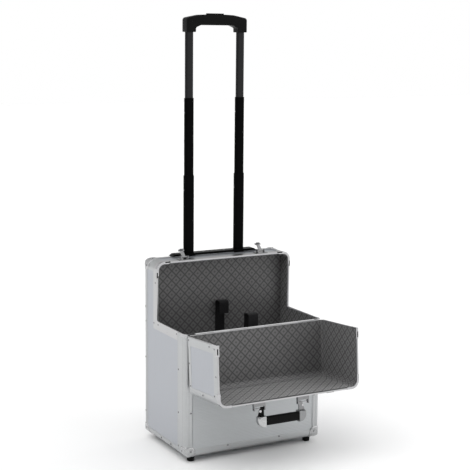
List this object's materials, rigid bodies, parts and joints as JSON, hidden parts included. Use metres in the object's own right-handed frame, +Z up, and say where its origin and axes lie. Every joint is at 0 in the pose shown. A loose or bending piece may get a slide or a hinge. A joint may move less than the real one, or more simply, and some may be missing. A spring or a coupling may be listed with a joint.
{
  "type": "aluminium pilot case with trolley",
  "caption": "Upright aluminium case with stepped sides, front lid swung open on a long hinge, fabric lining, carry handle, hook latches and an extended telescopic trolley handle.",
  "frame": {"origin": "centre of the bounding box's bottom face, on the floor under the case, with the lid open and the trolley handle out", "axes": "+Z up, +X to the case's right as its front is seen, -Y out of the front that the lid opens over"},
  "size_m": [0.38, 0.4119, 1.0653],
  "materials": {
    "brushed_panel": "smooth light grey sheet, faint blue reflection, satin",
    "ribbed_panel": "sheet with fine level ribs, satin",
    "edge_profile": "extruded and stamped trim, satin to bright",
    "chromed_steel": "bright plated steel",
    "lining_fabric": "dark grey satin lining with a woven diamond lattice",
    "black_plastic": "fine moulded grain",
    "black_tube": "black coated tube, semi-gloss",
    "rubber": "matt black",
    "webbing": "black woven webbing"
  },
  "bodies": {
    "case": {"front_panel": "ribbed_panel", "rear_panel": "ribbed_panel", "bottom_panel": "brushed_panel", "top_panel": "brushed_panel", "side_panel_left": "brushed_panel", "side_panel_right": "brushed_panel", "rear_edge_frame": "edge_profile", "rear_bottom_rail": "edge_profile", "lower_edge_frame": "edge_profile", "closure_frame": "edge_profile", "corner_cap_bottom_front_left": "edge_profile", "corner_cap_bottom_front_right": "edge_profile", "corner_cap_bottom_rear_left": "edge_profile", "corner_cap_bottom_rear_right": "edge_profile", "corner_cap_top_left": "edge_profile", "corner_cap_top_right": "edge_profile", "case_lining": "lining_fabric", "tube_compartment_wall": "black_plastic", "hinge_leaf_case": "edge_profile", "hinge_pin": "chromed_steel", "guide_frame": "black_plastic", "trolley_housing": "black_plastic", "latch_base_left": "chromed_steel", "latch_base_right": "chromed_steel", "foot_left": "rubber", "foot_right": "rubber", "wheel_housing_left": "black_plastic", "wheel_housing_right": "black_plastic", "wheel_axle_left": "chromed_steel", "wheel_axle_right": "chromed_steel", "strap_rear": "webbing", "strap_front": "webbing"},
    "lid": {"lid_shell": "ribbed_panel", "lid_side_left": "brushed_panel", "lid_side_right": "brushed_panel", "lid_edge_frame_left": "edge_profile", "lid_edge_frame_right": "edge_profile", "lid_rim": "edge_profile", "lid_lining": "lining_fabric", "hinge_leaf_lid": "edge_profile", "strike_left": "chromed_steel", "strike_right": "chromed_steel", "handle_bracket_left": "chromed_steel", "handle_bracket_right": "chromed_steel"},
    "carry_handle": {"handle_grip": "black_plastic", "handle_end_left": "chromed_steel", "handle_end_right": "chromed_steel"},
    "latch_left": {"latch_arm_left": "chromed_steel"},
    "latch_right": {"latch_arm_right": "chromed_steel"},
    "trolley_stage_1": {"stage_1_tube_left": "black_tube", "stage_1_tube_right": "black_tube"},
    "trolley_stage_2": {"stage_2_tube_left": "black_tube", "stage_2_tube_right": "black_tube"},
    "trolley_stage_3": {"stage_3_tube_left": "black_tube", "stage_3_tube_right": "black_tube", "trolley_grip": "black_plastic"},
    "release_button": {"release_button": "black_plastic"},
    "wheel_left": {"wheel_left": "rubber"},
    "wheel_right": {"wheel_right": "rubber"}
  },
  "joints": [
    {"name": "lid_hinge", "type": "hinge", "parent": "case", "child": "lid", "pos_m": [0, -0.0365, 0.3185], "axis": [1, 0, 0], "range_deg": [-175.7, 0]},
    {"name": "carry_handle_swing", "type": "hinge", "parent": "lid", "child": "carry_handle", "pos_m": [0, -0.16147, 0.15691], "axis": [1, 0, 0], "range_deg": [-80, 85]},
    {"name": "latch_left_turn", "type": "hinge", "parent": "case", "child": "latch_left", "pos_m": [-0.109, 0.136, 0.47], "axis": [1, 0, 0], "range_deg": [-38, 142]},
    {"name": "latch_right_turn", "type": "hinge", "parent": "case", "child": "latch_right", "pos_m": [0.109, 0.136, 0.47], "axis": [1, 0, 0], "range_deg": [-38, 142]},
    {"name": "trolley_lower_slide", "type": "slide", "parent": "case", "child": "trolley_stage_1", "axis": [0, 0, 1], "range_m": [-0.1955, 0]},
    {"name": "trolley_middle_slide", "type": "slide", "parent": "trolley_stage_1", "child": "trolley_stage_2", "axis": [0, 0, 1], "range_m": [-0.193, 0]},
    {"name": "trolley_upper_slide", "type": "slide", "parent": "trolley_stage_2", "child": "trolley_stage_3", "axis": [0, 0, 1], "range_m": [-0.1605, 0]},
    {"name": "release_button_press", "type": "slide", "parent": "trolley_stage_3", "child": "release_button", "axis": [0, 0, 1], "range_m": [-0.003, 0], "stiffness_N_per_m": 400, "springref_m": 0.001},
    {"name": "wheel_left_spin", "type": "hinge", "parent": "case", "child": "wheel_left", "pos_m": [-0.145, 0.186, 0.02], "axis": [1, 0, 0], "continuous": true},
    {"name": "wheel_right_spin", "type": "hinge", "parent": "case", "child": "wheel_right", "pos_m": [0.145, 0.186, 0.02], "axis": [1, 0, 0], "continuous": true}
  ]
}
